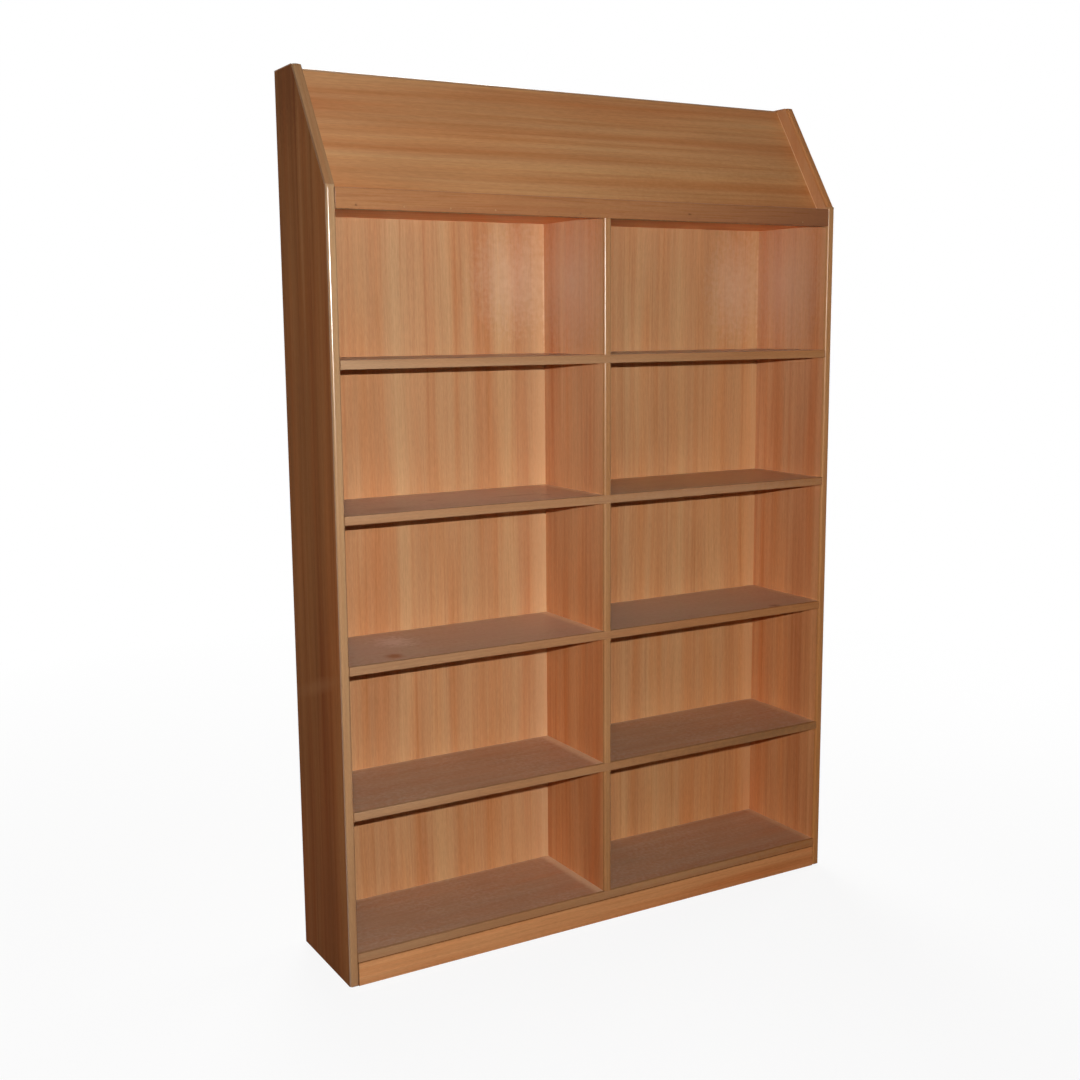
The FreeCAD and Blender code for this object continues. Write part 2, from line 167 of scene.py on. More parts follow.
# A new tree with its named sockets, and what its inputs give.
def startTree(name, kind, inputs, outputs):
    tree = bpy.data.node_groups.new(name, kind)
    for side, sockets in (("INPUT", inputs), ("OUTPUT", outputs)):
        for label, socket in sockets.items():
            tree.interface.new_socket(label, in_out=side, socket_type="NodeSocket" + socket)
    return tree, addNode(tree, "NodeGroupInput").outputs


def startMaterial(name):
    material = bpy.data.materials.new(name)
    material.use_nodes = True
    return material, material.node_tree


# What is the same all over is set on the shader itself, and what varies is linked to it.
def endMaterial(material, inputs):
    shader = material.node_tree.nodes["Principled BSDF"]
    for name, value in inputs.items():
        feed(material.node_tree, shader.inputs[name], value)
    return material


# Camera and light

cameraLook = {
    "place": (-1.7094, -2.7471, 1.4218),
    "heading": -30.326,      # degrees, turned to the right of straight on
    "dip": 9.001,            # degrees below level
    "roll": -0.4545,
    "lens": 45.683,          # millimetres, for a sensor 36 wide
    "sensor": 36.0,
}


def cameraAxes(look):
    heading, dip, roll = (math.radians(look[name]) for name in ("heading", "dip", "roll"))
    ahead = Vector((-math.sin(heading) * math.cos(dip), math.cos(heading) * math.cos(dip), -math.sin(dip)))
    right = Vector((math.cos(heading), math.sin(heading), 0))
    up = right.cross(ahead)
    tilted = right * math.cos(roll) + up * math.sin(roll)
    upright = up * math.cos(roll) - right * math.sin(roll)
    return tilted, upright, -ahead


def makeCamera(look):
    data = bpy.data.cameras.new("viewCamera")
    data.lens = look["lens"]
    data.sensor_width = look["sensor"]
    camera = linkObject("viewCamera", data)
    turn = Matrix(cameraAxes(look)).transposed().to_4x4()
    camera.matrix_world = Matrix.Translation(look["place"]) @ turn
    bpy.context.scene.camera = camera


lamps = {
    "keyLamp": {"place": (-1.70, -2.76, 1.535), "aim": (-0.1, 0.0, 1.5), "size": 0.010, "power": 98.0},
    "gleamLamp": {"place": (-1.70, -2.76, 1.63), "aim": (-0.1, 0.0, 1.5), "size": 0.03, "power": 400.0,
                  "glossOnly": True},
    "topLamp": {"place": (0.0, -0.4, 4.6), "aim": (0.0, 0.0, 1.9), "size": 1.6, "power": 9.0},
    "rearLamp": {"place": (1.0, 3.4, 4.0), "aim": (0.0, 0.1, 1.0), "size": 2.6, "power": 150.0},
    "rightLamp": {"place": (3.8, 0.9, 1.9), "aim": (0.66, 0.0, 1.0), "size": 1.8, "power": 50.0},
}
room = {"fill": 0.005, "background": 1.0}


def makeLamp(name, look):
    data = bpy.data.lights.new(name, "AREA")
    data.shape = "DISK"
    data.size = look["size"]
    data.energy = look["power"]
    lamp = linkObject(name, data)
    lamp.visible_diffuse = not look.get("glossOnly", False)
    place = Vector(look["place"])
    turn = (place - Vector(look["aim"])).to_track_quat("Z", "Y").to_matrix().to_4x4()
    lamp.matrix_world = Matrix.Translation(place) @ turn


# 1 for the rays that see the pale background: straight, mirrored or through glass.
def backdropRays(tree):
    path = addNode(tree, "ShaderNodeLightPath").outputs
    seen = calc(tree, "MAXIMUM", path["Is Camera Ray"], path["Is Glossy Ray"])
    return calc(tree, "MAXIMUM", seen, path["Is Transmission Ray"])


def makeRoom(look):
    world = bpy.data.worlds.new("paleRoom")
    world.use_nodes = True
    tree = world.node_tree
    background = tree.nodes["Background"].inputs
    background["Color"].default_value = white
    strength = remap(tree, backdropRays(tree), 0.0, 1.0, look["fill"], look["background"])
    feed(tree, background["Strength"], strength)
    bpy.context.scene.world = world


floorLook = {
    "half": 14.0, "drop": 0.0004, "paleFrom": 1.2, "paleTo": 3.4, "glow": 0.88,
    "seen": (0.9, 0.9, 0.9, 1.0), "bounced": (0.22, 0.11, 0.06, 1.0),
}


# Pale floor that takes the shadow and fades into the background further out.
def makeFloor(look):
    half = look["half"]
    mesh = bpy.data.meshes.new("floor")
    corners = [(-half, -half), (half, -half), (half, half), (-half, half)]
    mesh.from_pydata([(x, y, -look["drop"]) for x, y in corners], [], [(0, 1, 2, 3)])
    floor = linkObject("floor", mesh)
    material, tree = startMaterial("paleFloor")
    tree.nodes.clear()
    away = distanceTo(tree, objectPlace(tree))
    far = remap(tree, away, look["paleFrom"], look["paleTo"], look["glow"], 1.0)
    seen = backdropRays(tree)
    tone = mixColor(tree, seen, look["bounced"], look["seen"])
    lit = addNode(tree, "ShaderNodeBsdfDiffuse", {"Color": tone})
    pale = addNode(tree, "ShaderNodeEmission", {"Color": white})
    mixed = addNode(tree, "ShaderNodeMixShader", {0: times(tree, far, seen), 1: lit, 2: pale})
    addNode(tree, "ShaderNodeOutputMaterial", {"Surface": mixed})
    mesh.materials.append(material)


makeCamera(cameraLook)
for lampName, lampLook in lamps.items():
    makeLamp(lampName, lampLook)
makeRoom(room)
makeFloor(floorLook)
bpy.context.scene.view_settings.view_transform = "Standard"
print("camera, lamps and floor made")


# Beech: one figure for every board, read along and across its grain

noiseSpan = (0.3, 0.7)      # most of a noise lies between these
figure = {
    "bands": {"along": 1.2, "across": 0.032, "detail": 2.0, "span": noiseSpan},
    "stripes": {"along": 0.8, "across": 0.011, "detail": 2.0, "span": noiseSpan},
    "streaks": {"along": 0.45, "across": 0.006, "detail": 1.0, "span": (0.56, 0.84)},
    "lines": {"along": 0.16, "across": 0.0028, "detail": 2.0, "span": noiseSpan},
    "fibres": {"along": 0.012, "across": 0.0014, "detail": 1.0, "span": noiseSpan},
    "cloud": {"along": 0.20, "across": 0.08, "detail": 1.0, "span": noiseSpan},
    "warmth": {"along": 0.50, "across": 0.030, "detail": 2.0, "span": (0.42, 0.74)},
}
layerShift = Vector((3.7, 2.59, 4.81))      # from one layer of the figure to the next
grainBend = {"scale": (1.1, 5.0, 5.0), "push": (0.0, 0.03, 0.02)}
warmTint = (1.0, 0.84, 0.74, 1.0)
stripeShare = 0.25
shadeShare = {"lines": 0.10, "fibres": 0.13, "cloud": 0.08}
figureInputs = {
    "Grain": "Vector", "Light": "Color", "Middle": "Color", "Dark": "Color",
    "Streaks": "Float", "Warmth": "Float",
}


# Noise drawn out along the grain, as 0 to 1.
def stretchedNoise(tree, grain, look, shift):
    across = 1 / look["across"]
    place = addNode(tree, "ShaderNodeMapping", {
        "Vector": grain, "Location": shift, "Scale": (1 / look["along"], across, across),
    })
    return remap(tree, noise(tree, place, 1.0, look["detail"]), *look["span"])


def makeFigureGroup():
    outputs = {"Color": "Color", "Height": "Float", "Tone": "Float"}
    tree, given = startTree("beechFigure", "ShaderNodeTree", figureInputs, outputs)
    bend = noise(tree, vectorCalc(tree, "MULTIPLY", given["Grain"], grainBend["scale"]), 1.0, 1.0)
    bent = vectorCalc(tree, "ADD", given["Grain"], vectorCalc(tree, "SCALE", grainBend["push"], bend))
    parts = {}
    for index, (name, look) in enumerate(figure.items()):
        parts[name] = stretchedNoise(tree, bent, look, layerShift * index)
    wide = times(tree, parts["bands"], 1 - stripeShare)
    banded = calc(tree, "MULTIPLY_ADD", parts["stripes"], stripeShare, wide)
    color = mixColor(tree, banded, given["Light"], given["Middle"])
    color = mixColor(tree, times(tree, parts["streaks"], given["Streaks"]), color, given["Dark"])
    warm = times(tree, parts["warmth"], given["Warmth"])
    color = mixColor(tree, warm, color, tinted(tree, color, warmTint))
    shade = 1.0
    for name, share in shadeShare.items():
        shade = calc(tree, "MULTIPLY_ADD", minus(tree, parts[name], 0.5), share, shade)
    color = tinted(tree, color, addNode(tree, "ShaderNodeCombineColor", {0: shade, 1: shade, 2: shade}))
    height = calc(tree, "MULTIPLY_ADD", parts["fibres"], 0.5, times(tree, parts["lines"], 0.5))
    addNode(tree, "NodeGroupOutput", {"Color": color, "Height": height, "Tone": parts["lines"]})
    return tree


figureGroup = makeFigureGroup()
grainOrder = {"x": "XYZ", "y": "YZX", "z": "ZXY"}


# The place in the wood: along the grain first, then the two ways across it.
def grainAlong(tree, axis):
    if axis == "piece":
        return addNode(tree, "ShaderNodeAttribute", attribute_name="grainPlace").outputs["Vector"]
    parts = split(tree, objectPlace(tree))
    return combine(tree, *(parts[name] for name in grainOrder[axis]))


# A soft-edged mark: its middle, half its size each way, its tone, and that tone's share at the middle.
def mark(place, half, tone, share, core=0.2, ragged=1.0, turn=(0, 0, 0)):
    return {
        "place": place, "half": half, "tone": tone, "share": share,
        "core": core, "ragged": ragged, "turn": turn,
    }


raggedScale = 90.0

# A mark's edge: how much of the mark is full, and how far noise moves the rest in and out.
crispEdge = {"core": 0.5, "ragged": 0.4}
lineEdge = {"core": 0.4, "ragged": 0.5}
gentleEdge = {"core": 0.0, "ragged": 0.3}
glowEdge = {"core": 0.0, "ragged": 0.6}
patchyEdge = {"core": 0.0, "ragged": 0.8}


def paintMarks(tree, color, marks):
    edges = minus(tree, noise(tree, objectPlace(tree), raggedScale, 2.0), 0.5)
    for look in marks.values():
        within = addNode(tree, "ShaderNodeMapping", {
            "Vector": objectPlace(tree), "Location": look["place"], "Scale": look["half"],
            "Rotation": [math.radians(angle) for angle in look["turn"]],
        }, vector_type="TEXTURE")
        distance = calc(tree, "MULTIPLY_ADD", edges, look["ragged"], distanceTo(tree, within))
        amount = remap(tree, distance, look["core"], 1.0, look["share"], 0.0)
        color = mixColor(tree, amount, color, paint(*look["tone"]))
    return color


# Painted shade: the wood is tinted darker and redder to the right and down, where less light falls, and stays
# paler at the upper left.
# Each place is an x and a z: untinted at the first, and fully tinted from the second on.
bleach = {
    "boards": {"right": 0.5, "down": 0.5, "from": (-0.5, 1.6), "to": (0.6, 0.1), "shadeTint": (1.04, 0.85, 0.66)},
    "uprights": {"right": 0.0, "down": 1.0, "from": (-0.5, 1.3), "to": (0.6, 0.6), "shadeTint": (1.0, 0.84, 0.68)},
    "shelves": {"right": 0.2, "down": 0.2, "from": (-0.5, 1.6), "to": (0.6, 0.1), "shadeTint": (1.0, 0.85, 0.68)},
    "plinth": {"right": 0.7, "down": 0.0, "from": (-0.6, 1.6), "to": (0.6, 0.1), "shadeTint": (1.0, 0.85, 0.68)},
    "lippings": {"right": 0.7, "down": 0.3, "from": (-0.6, 1.6), "to": (0.6, 0.1), "shadeTint": (1.0, 0.68, 0.38)},
}


# Mixes in the painted shade, darker and redder towards the lower right.
def addPaintedShade(tree, color, look):
    parts = split(tree, objectPlace(tree))
    sideways = remap(tree, parts["X"], look["from"][0], look["to"][0], 0.0, look["right"])
    downwards = remap(tree, parts["Z"], look["from"][1], look["to"][1], 0.0, look["down"])
    amount = calc(tree, "ADD", sideways, downwards)
    return mixColor(tree, amount, color, tinted(tree, color, (*look["shadeTint"], 1.0)))


# Lacquered beech; paintOver(tree, color) may add to the figure.
def makeBeech(name, look, paintOver=None):
    material, tree = startMaterial(name)
    wood = addNode(tree, "ShaderNodeGroup", node_tree=figureGroup)
    grain = vectorCalc(tree, "SCALE", grainAlong(tree, look["grain"]), 1 / look["figureScale"])
    feed(tree, wood.inputs["Grain"], grain)
    for tone in ("Light", "Middle", "Dark"):
        wood.inputs[tone].default_value = paint(*look[tone.lower()])
    for strength in ("Streaks", "Warmth"):
        wood.inputs[strength].default_value = look[strength.lower()]
    # painted shade towards the lower right
    color = addPaintedShade(tree, wood.outputs["Color"], bleach[look["bleach"]])
    if paintOver:
        color = paintOver(tree, color)
    dullest = look["rough"] + look["roughSpread"]
    return endMaterial(material, {
        "Base Color": paintMarks(tree, color, look["marks"]),
        "Roughness": remap(tree, wood.outputs["Tone"], 0.0, 1.0, look["rough"], dullest),
        "Normal": raised(tree, wood.outputs["Height"], look["bump"]),
        "Specular IOR Level": look["gloss"],
    })


# 1 on the faces that look along an axis
def facing(tree, axis):
    normal = addNode(tree, "ShaderNodeNewGeometry").outputs["Normal"]
    return calc(tree, "GREATER_THAN", split(tree, normal)[axis], 0.5)


backing = {"tone": (196, 158, 112), "share": 0.55}


# Plain backing veneer on the faces that look to the rear
def paintRear(tree, color):
    rear = mixColor(tree, backing["share"], color, paint(*backing["tone"]))
    return mixColor(tree, facing(tree, "Y"), color, rear)


dust = {
    "tone": (206, 186, 170), "share": 0.28,
    "patchScale": 9.0, "patches": (0.35, 0.65, 0.3, 1.0), "speckScale": 110.0, "specks": (0.40, 0.70),
}


# Fine pale dust on the faces that look up
def paintDust(tree, color):
    patches = remap(tree, noise(tree, objectPlace(tree), dust["patchScale"], 2.0), *dust["patches"])
    specks = remap(tree, noise(tree, objectPlace(tree), dust["speckScale"], 3.0), *dust["specks"])
    amount = times(tree, times(tree, patches, specks), dust["share"])
    return mixColor(tree, times(tree, amount, facing(tree, "Z")), color, paint(*dust["tone"]))


# Faces and levels that the marks lie on
def middleHeight(node):
    low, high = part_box(node)
    return (low.z + high.z) / 2


front, outerLeft = frameLow.y, frameLow.x
plinthLow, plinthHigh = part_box("plinth_front")
innerLeft, innerRight = plinthLow.x, plinthHigh.x
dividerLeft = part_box("divider_1")[0].x
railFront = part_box("front_rail")[0].y
lowShelf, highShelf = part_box("shelf_2")[1].z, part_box("shelf_3")[1].z
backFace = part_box("left_back_panel")[0].y
backFront = backFace - 0.002      # just before the back, so that these marks stay off its rear

shelfMarks = {
    # Painted sheen: a pale haze where the shelf top mirrors the lit back, paler at the left.
    "paintedSheen": mark((-0.33, 0.02, highShelf), (0.52, 0.3, 0.01), (214, 178, 160), 0.7),
    "warmth": mark((0.3, 0.02, highShelf), (0.5, 0.3, 0.01), (206, 144, 92), 0.7),
    # Painted sheen, as above, on the lower shelves.
    "lowerPaintedSheen": mark((0.0, 0.02, lowShelf), (1.0, 0.3, 0.01), (198, 168, 148), 0.55),
    # Painted sheen, as above, at the left.
    "leftPaintedSheen": mark((-0.56, 0.0, lowShelf), (0.16, 0.2, 0.01), (196, 172, 156), 0.45),
    # Painted reflections: pale strips on the shelf tops along the lit divider, side and back.
    "dividerFoot": mark((-0.01, 0.0, 0.6), (0.026, 3.0, 2.0), (226, 194, 156), 0.6, **crispEdge),
    "sideFootReflection": mark((0.645, 0.0, 0.6), (0.022, 3.0, 2.0), (208, 170, 130), 0.5, **crispEdge),
    "backFootReflection": mark((0.0, backFace, 0.6), (9.0, 0.014, 2.0), (204, 172, 138), 0.45, core=0.4, ragged=0.4),
    "knot": mark((-0.524, -0.091, lowShelf), (0.027, 0.026, 0.01), (154, 82, 38), 0.95, core=0.3, ragged=0.7),
    "stain": mark((0.514, -0.118, lowShelf), (0.022, 0.016, 0.01), (110, 54, 28), 0.8),
    "bloom": mark((-0.469, 0.03, lowShelf), (0.055, 0.065, 0.01), (226, 202, 190), 0.6, ragged=1.6),
    "redFleck": mark((-0.379, 0.008, highShelf), (0.014, 0.012, 0.01), (140, 78, 50), 0.5),
    "redStreak": mark((-0.175, -0.024, highShelf), (0.085, 0.012, 0.01), (150, 88, 58), 0.5),
    "redSpot": mark((-0.117, -0.05, highShelf), (0.022, 0.014, 0.01), (134, 70, 44), 0.5),
    "redCorner": mark((-0.52, -0.08, highShelf), (0.06, 0.04, 0.01), (150, 86, 54), 0.4),
}
railMarks = {
    "dash": mark((0.225, railFront, 1.666), (0.006, 0.01, 0.003), (84, 44, 22), 0.8),
    # Painted shade: darker towards the rail's right end.
    "shadedEnd": mark((0.62, railFront, 1.676), (0.64, 3.0, 3.0), (106, 56, 32), 0.5, **gentleEdge),
}
levelMarks = {
    "dullRight": mark((0.45, front, middleHeight("shelf_1")), (0.42, 0.03, 0.02), (108, 82, 54), 0.55),
    "paleRight": mark((0.3, front, middleHeight("shelf_3")), (0.45, 0.03, 0.02), (176, 142, 112), 0.35),
    "paleFoot": mark((0.3, front, middleHeight("bottom_shelf")), (0.45, 0.03, 0.02), (160, 130, 100), 0.3),
}
jointTone = (72, 38, 18)      # the dark joint round the plinth's front
plinthMarks = {
    "topLine": mark((0.0, plinthLow.y, 0.0545), (3.0, 0.01, 0.0042), jointTone, 0.75, **lineEdge),
    "leftLine": mark((innerLeft, plinthLow.y, 0.03), (0.002, 0.01, 1.0), jointTone, 0.7, **lineEdge),
    "rightLine": mark((innerRight, plinthLow.y, 0.03), (0.002, 0.01, 1.0), jointTone, 0.7, **lineEdge),
}
panelMarks = {
    "richFoot": mark((0.42, -0.1, 1.74), (0.42, 0.12, 0.11), (150, 88, 40), 0.28),
    "paleEnd": mark((innerRight, 0.0, 1.8), (0.0028, 0.5, 0.5), (222, 184, 140), 0.7, **crispEdge),
}
backMarks = {
    # All painted light: pale strips by the inside corners, soft painted glows where the corners mirror the
    # lamp, and thin painted highlights along the corners.
    "leftCornerLight": mark((-0.018, backFront, 0.8), (0.034, 0.007, 3.0), (214, 172, 128), 0.5, **gentleEdge),
    "leftCornerLightFade": mark((-0.01, backFront, 0.8), (0.14, 0.007, 3.0), (186, 152, 118), 0.3, **gentleEdge),
    "rightCornerLight": mark((0.637, backFront, 0.8), (0.034, 0.007, 3.0), (206, 160, 114), 0.5, **gentleEdge),
    "leftPaintedGlow": mark((-0.095, backFront, 1.522), (0.13, 0.007, 0.15), (216, 184, 158), 0.45, **patchyEdge),
    "rightPaintedGlow": mark((0.57, backFront, 1.51), (0.11, 0.007, 0.16), (214, 182, 156), 0.45, **patchyEdge),
    "leftEdgeHighlight": mark((-0.011, backFront, 1.5), (0.004, 0.007, 0.17), (222, 190, 156), 0.6),
    "rightEdgeHighlight": mark((0.643, backFront, 1.49), (0.004, 0.007, 0.15), (214, 170, 132), 0.5),
}
uprightMarks = {
    # Painted glow where the inside corner mirrors the lamp.
    "dividerGlow": mark((dividerLeft, 0.01, 1.52), (0.02, 0.17, 0.2), (204, 174, 150), 0.5, **glowEdge),
    "tanHead": mark((0.0, 0.0, 1.86), (3.0, 0.4, 0.2), (176, 122, 78), 0.6, core=0.6, ragged=0.4),
    # Painted glow, as on the divider.
    "sidePaintedGlow": mark((innerRight, 0.03, 1.52), (0.02, 0.16, 0.2), (206, 170, 146), 0.45, **glowEdge),
}
topMarks = {
    # Painted shadow of the rail on the front of the top board's underside.
    "railShadow": mark((0.0, -0.09, 1.654), (3.0, 0.07, 0.03), (214, 108, 44), 0.45),
}
outerMarks = {
    # Painted shade: darker towards the top of the outer faces.
    "shadedHead": mark((outerLeft, 0.06, 1.92), (0.01, 0.3, 0.16), (84, 42, 20), 0.3),
    "scuff": mark((outerLeft, 0.01, 0.64), (0.01, 0.17, 0.022), (170, 116, 76), 0.4, ragged=0.5,
                  turn=(-18.0, 0, 0)),
}


# A wood: the way its grain runs, its three tones, and where its finish differs from this usual one.
def beech(grain, light, middle, dark, **finish):
    usual = {
        "gloss": 0.04, "rough": 0.34, "roughSpread": 0.05, "bump": 0.00002,
        "streaks": 0.3, "warmth": 0.8, "figureScale": 1.0, "bleach": "boards", "marks": {},
    }
    return {"grain": grain, "light": light, "middle": middle, "dark": dark, **usual, **finish}


lippingTones = ((170, 137, 101), (159, 121, 82), (132, 92, 62))
woods = {
    "outerVeneer": beech("z", (168, 116, 71), (127, 76, 39), (90, 47, 23), gloss=0.02, rough=0.6,
                         streaks=0.4, warmth=1.2, figureScale=1.5, marks=outerMarks),
    "dividerVeneer": beech("z", (197, 150, 108), (176, 119, 82), (141, 81, 47),
                           warmth=1.2, figureScale=1.4, bleach="uprights", marks=uprightMarks),
    "backVeneer": beech("z", (188, 154, 115), (173, 126, 89), (146, 89, 50),
                        gloss=0.02, warmth=1.1, figureScale=1.4, marks=backMarks),
    "shelfVeneer": beech("x", (180, 142, 114), (171, 126, 96), (143, 96, 66), gloss=0.4, rough=0.36,
                         bleach="shelves", marks=shelfMarks),
    "topVeneer": beech("x", (248, 180, 124), (237, 160, 104), (198, 117, 67),
                       bleach="shelves", marks=topMarks),
    "headerVeneer": beech("x", (191, 149, 103), (167, 108, 66), (145, 84, 46), rough=0.30,
                          warmth=0.9, figureScale=1.6, marks=panelMarks),
    "plinthVeneer": beech("x", (214, 161, 110), (189, 126, 80), (154, 92, 54), rough=0.30,
                          bleach="plinth", marks=plinthMarks),
    "railBeech": beech("x", (162, 116, 75), (149, 97, 60), (124, 73, 45), gloss=0.15, rough=0.26,
                       warmth=0.4, marks=railMarks),
    "lippingBeech": beech("piece", *lippingTones, gloss=0.2, rough=0.20, warmth=0.4, bleach="lippings"),
    "dividerBeech": beech("piece", *lippingTones, gloss=0.12, rough=0.24, warmth=0.4, bleach="lippings"),
    "levelBeech": beech("piece", (169, 138, 106), (157, 120, 87), (130, 92, 64), gloss=0.1, rough=0.4,
                        warmth=0.6, bleach="lippings", marks=levelMarks),
    "dullBeech": beech("piece", (182, 152, 118), (170, 134, 98), (140, 101, 71), gloss=0.06, rough=0.24,
                       warmth=0.4, bleach="lippings"),
    "slopeBeech": beech("piece", (152, 117, 82), (141, 103, 69), (115, 79, 51), rough=0.5),
    "rightSlopeBeech": beech("piece", (186, 134, 88), (172, 116, 72), (136, 87, 51), rough=0.5),
    "edgingBeech": beech("y", (158, 112, 72), (146, 98, 60), (118, 75, 44), gloss=0.15, rough=0.4),
    "rawBeech": beech("z", (214, 178, 132), (200, 160, 112), (166, 122, 80), gloss=0.1, rough=0.6),
    "softwood": beech("x", (226, 196, 146), (214, 178, 124), (180, 132, 82), gloss=0.1, rough=0.6),
}
paintedOver = {"backVeneer": paintRear, "shelfVeneer": paintDust}
materials = {name: makeBeech(name, look, paintedOver.get(name)) for name, look in woods.items()}


coreLook = {"light": (196, 164, 122), "dark": (140, 104, 68), "chip": 260.0, "rough": 0.8, "bump": 0.0003}


# Pressed chips, seen where a board's edge is bare
def makeCore(name, look):
    material, tree = startMaterial(name)
    chips = addNode(tree, "ShaderNodeTexVoronoi", {"Vector": objectPlace(tree), "Scale": look["chip"]})
    tint = addNode(tree, "ShaderNodeSeparateColor", {0: chips.outputs["Color"]}).outputs[0]
    return endMaterial(material, {
        "Base Color": mixColor(tree, tint, paint(*look["dark"]), paint(*look["light"])),
        "Normal": raised(tree, tint, look["bump"]), "Roughness": look["rough"],
    })


steelLook = {
    "tone": (176, 170, 158), "dull": (150, 140, 118), "grain": 900.0, "rough": 0.34, "dullRough": 0.54,
}


def makeSteel(name, look):
    material, tree = startMaterial(name)
    grain = noise(tree, objectPlace(tree), look["grain"], 3.0)
    dulled = remap(tree, grain, *noiseSpan)
    return endMaterial(material, {
        "Base Color": mixColor(tree, dulled, paint(*look["tone"]), paint(*look["dull"])),
        "Roughness": remap(tree, grain, *noiseSpan, look["rough"], look["dullRough"]), "Metallic": 1.0,
    })


materials["boardCore"] = makeCore("boardCore", coreLook)
materials["zincSteel"] = makeSteel("zincSteel", steelLook)
print("materials made:", len(materials))


# Pieces: finishing

def finishPiece(piece, node):
    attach(piece, "root")
    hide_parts(node)


def tidyNormals(mesh, sharpAngle=math.radians(35), mergeWithin=1e-7):
    shape = bmesh.new()
    shape.from_mesh(mesh)
    bmesh.ops.remove_doubles(shape, verts=shape.verts, dist=mergeWithin)
    bmesh.ops.recalc_face_normals(shape, faces=shape.faces)
    shape.to_mesh(mesh)
    shape.free()
    mesh.shade_smooth()
    mesh.set_sharp_from_angle(angle=sharpAngle)


def evenNormals(piece):
    modifier = piece.modifiers.new("evenNormals", "WEIGHTED_NORMAL")
    modifier.keep_sharp = True


# Puts what a modifier makes in the piece's mesh, and takes the modifier off.
def applyModifier(piece, modifier):
    depsgraph = bpy.context.evaluated_depsgraph_get()
    mesh = bpy.data.meshes.new_from_object(piece.evaluated_get(depsgraph), depsgraph=depsgraph)
    piece.modifiers.remove(modifier)
    piece.data = mesh


# Every geometry tree ends in real geometry with its material.
def endGeometry(tree, geometry, finish):
    real = addNode(tree, "GeometryNodeRealizeInstances", {0: geometry})
    finished = addNode(tree, "GeometryNodeSetMaterial", {"Geometry": real, "Material": finish})
    addNode(tree, "NodeGroupOutput", {"Geometry": finished})


# Runs a tree once on some points, which may carry numbers, and keeps its result as a plain mesh.
def meshFromTree(name, tree, values, points=(), numbers=None):
    source = bpy.data.meshes.new(name + "Source")
    source.from_pydata(list(points), [], [])
    for label, given in (numbers or {}).items():
        source.attributes.new(label, "FLOAT", "POINT").data.foreach_set("value", given)
    piece = linkObject(name, source)
    modifier = piece.modifiers.new("tree", "NODES")
    modifier.node_group = tree
    for item in tree.interface.items_tree:
        if item.in_out == "INPUT" and item.name in values:
            modifier[item.identifier] = values[item.name]
    piece.update_tag()
    applyModifier(piece, modifier)
    piece.data.name = name
    bpy.data.meshes.remove(source)
    return piece


# Lippings: a tree that sweeps a rounded strip along a run

def storeOnPoints(tree, geometry, name, value, kind="FLOAT_VECTOR"):
    inputs = {"Geometry": geometry, "Name": name, "Value": value}
    return addNode(tree, "GeometryNodeStoreNamedAttribute", inputs, data_type=kind, domain="POINT")


def readFromPoints(tree, name, kind="FLOAT_VECTOR"):
    return addNode(tree, "GeometryNodeInputNamedAttribute", {"Name": name}, data_type=kind)


# Strip of the rounded section along the run, with the section's places kept on it.
def sweepSection(tree, given):
    flat = addNode(tree, "GeometryNodeCurvePrimitiveQuadrilateral", {
        "Width": given["Width"], "Height": given["Depth"],
    })
    isFront = calc(tree, "LESS_THAN", split(tree, addNode(tree, "GeometryNodeInputPosition"))["Y"], 0.0)
    radius = addNode(tree, "GeometryNodeSwitch", {
        0: isFront, 1: given["Ease"], 2: given["Arris"],
    }, input_type="FLOAT")
    rounded = addNode(tree, "GeometryNodeFilletCurve", {
        "Curve": flat, "Count": given["Arc Points"], "Radius": radius, "Limit Radius": True,
    }, mode="POLY")
    divided = addNode(tree, "GeometryNodeSubdivideCurve", {0: rounded, 1: given["Section Cuts"]})
    section = storeOnPoints(tree, divided, "sectionPlace", addNode(tree, "GeometryNodeInputPosition"))
    line = addNode(tree, "GeometryNodeCurvePrimitiveLine", {"End": (1.0, 0.0, 0.0)})
    rings = addNode(tree, "GeometryNodeResampleCurve", {"Curve": line, "Count": given["Rings"]}, mode="COUNT")
    factor = addNode(tree, "GeometryNodeSplineParameter").outputs["Factor"]
    path = storeOnPoints(tree, rings, "runShare", factor, "FLOAT")
    return addNode(tree, "GeometryNodeCurveToMesh", {
        "Curve": path, "Profile Curve": section, "Fill Caps": True,
    })


# The other short side of a right triangle, or 0 past the end of the long one.
def otherSide(tree, longSide, shortSide):
    square = minus(tree, times(tree, longSide, longSide), times(tree, shortSide, shortSide))
    return calc(tree, "SQRT", calc(tree, "MAXIMUM", square, 0.0))


# How far a rounded end cuts in at this distance from it.
def endDepth(tree, distance, radius, rise, lean):
    height = minus(tree, rise, distance)
    sine = calc(tree, "SINE", lean)
    arc = times(tree, calc(tree, "COSINE", lean), otherSide(tree, radius, height))
    cut = minus(tree, minus(tree, radius, times(tree, height, sine)), arc)
    return times(tree, cut, calc(tree, "GREATER_THAN", height, times(tree, radius, sine)))


# 1 on the front face, 0 where the lipping meets its board.
def frontness(tree, given, depth):
    return minus(tree, 1.0, calc(tree, "DIVIDE", depth, given["Depth"]))


# How much of an end's run is lost to its two rounded corners, less so towards the board.
def cornerLoss(tree, given, across, depth, radius):
    fromEdge = calc(tree, "MINIMUM", across, minus(tree, given["Width"], across))
    inset = calc(tree, "MAXIMUM", minus(tree, radius, fromEdge), 0.0)
    cut = minus(tree, radius, otherSide(tree, radius, inset))
    return times(tree, cut, calc(tree, "SQRT", frontness(tree, given, depth)))


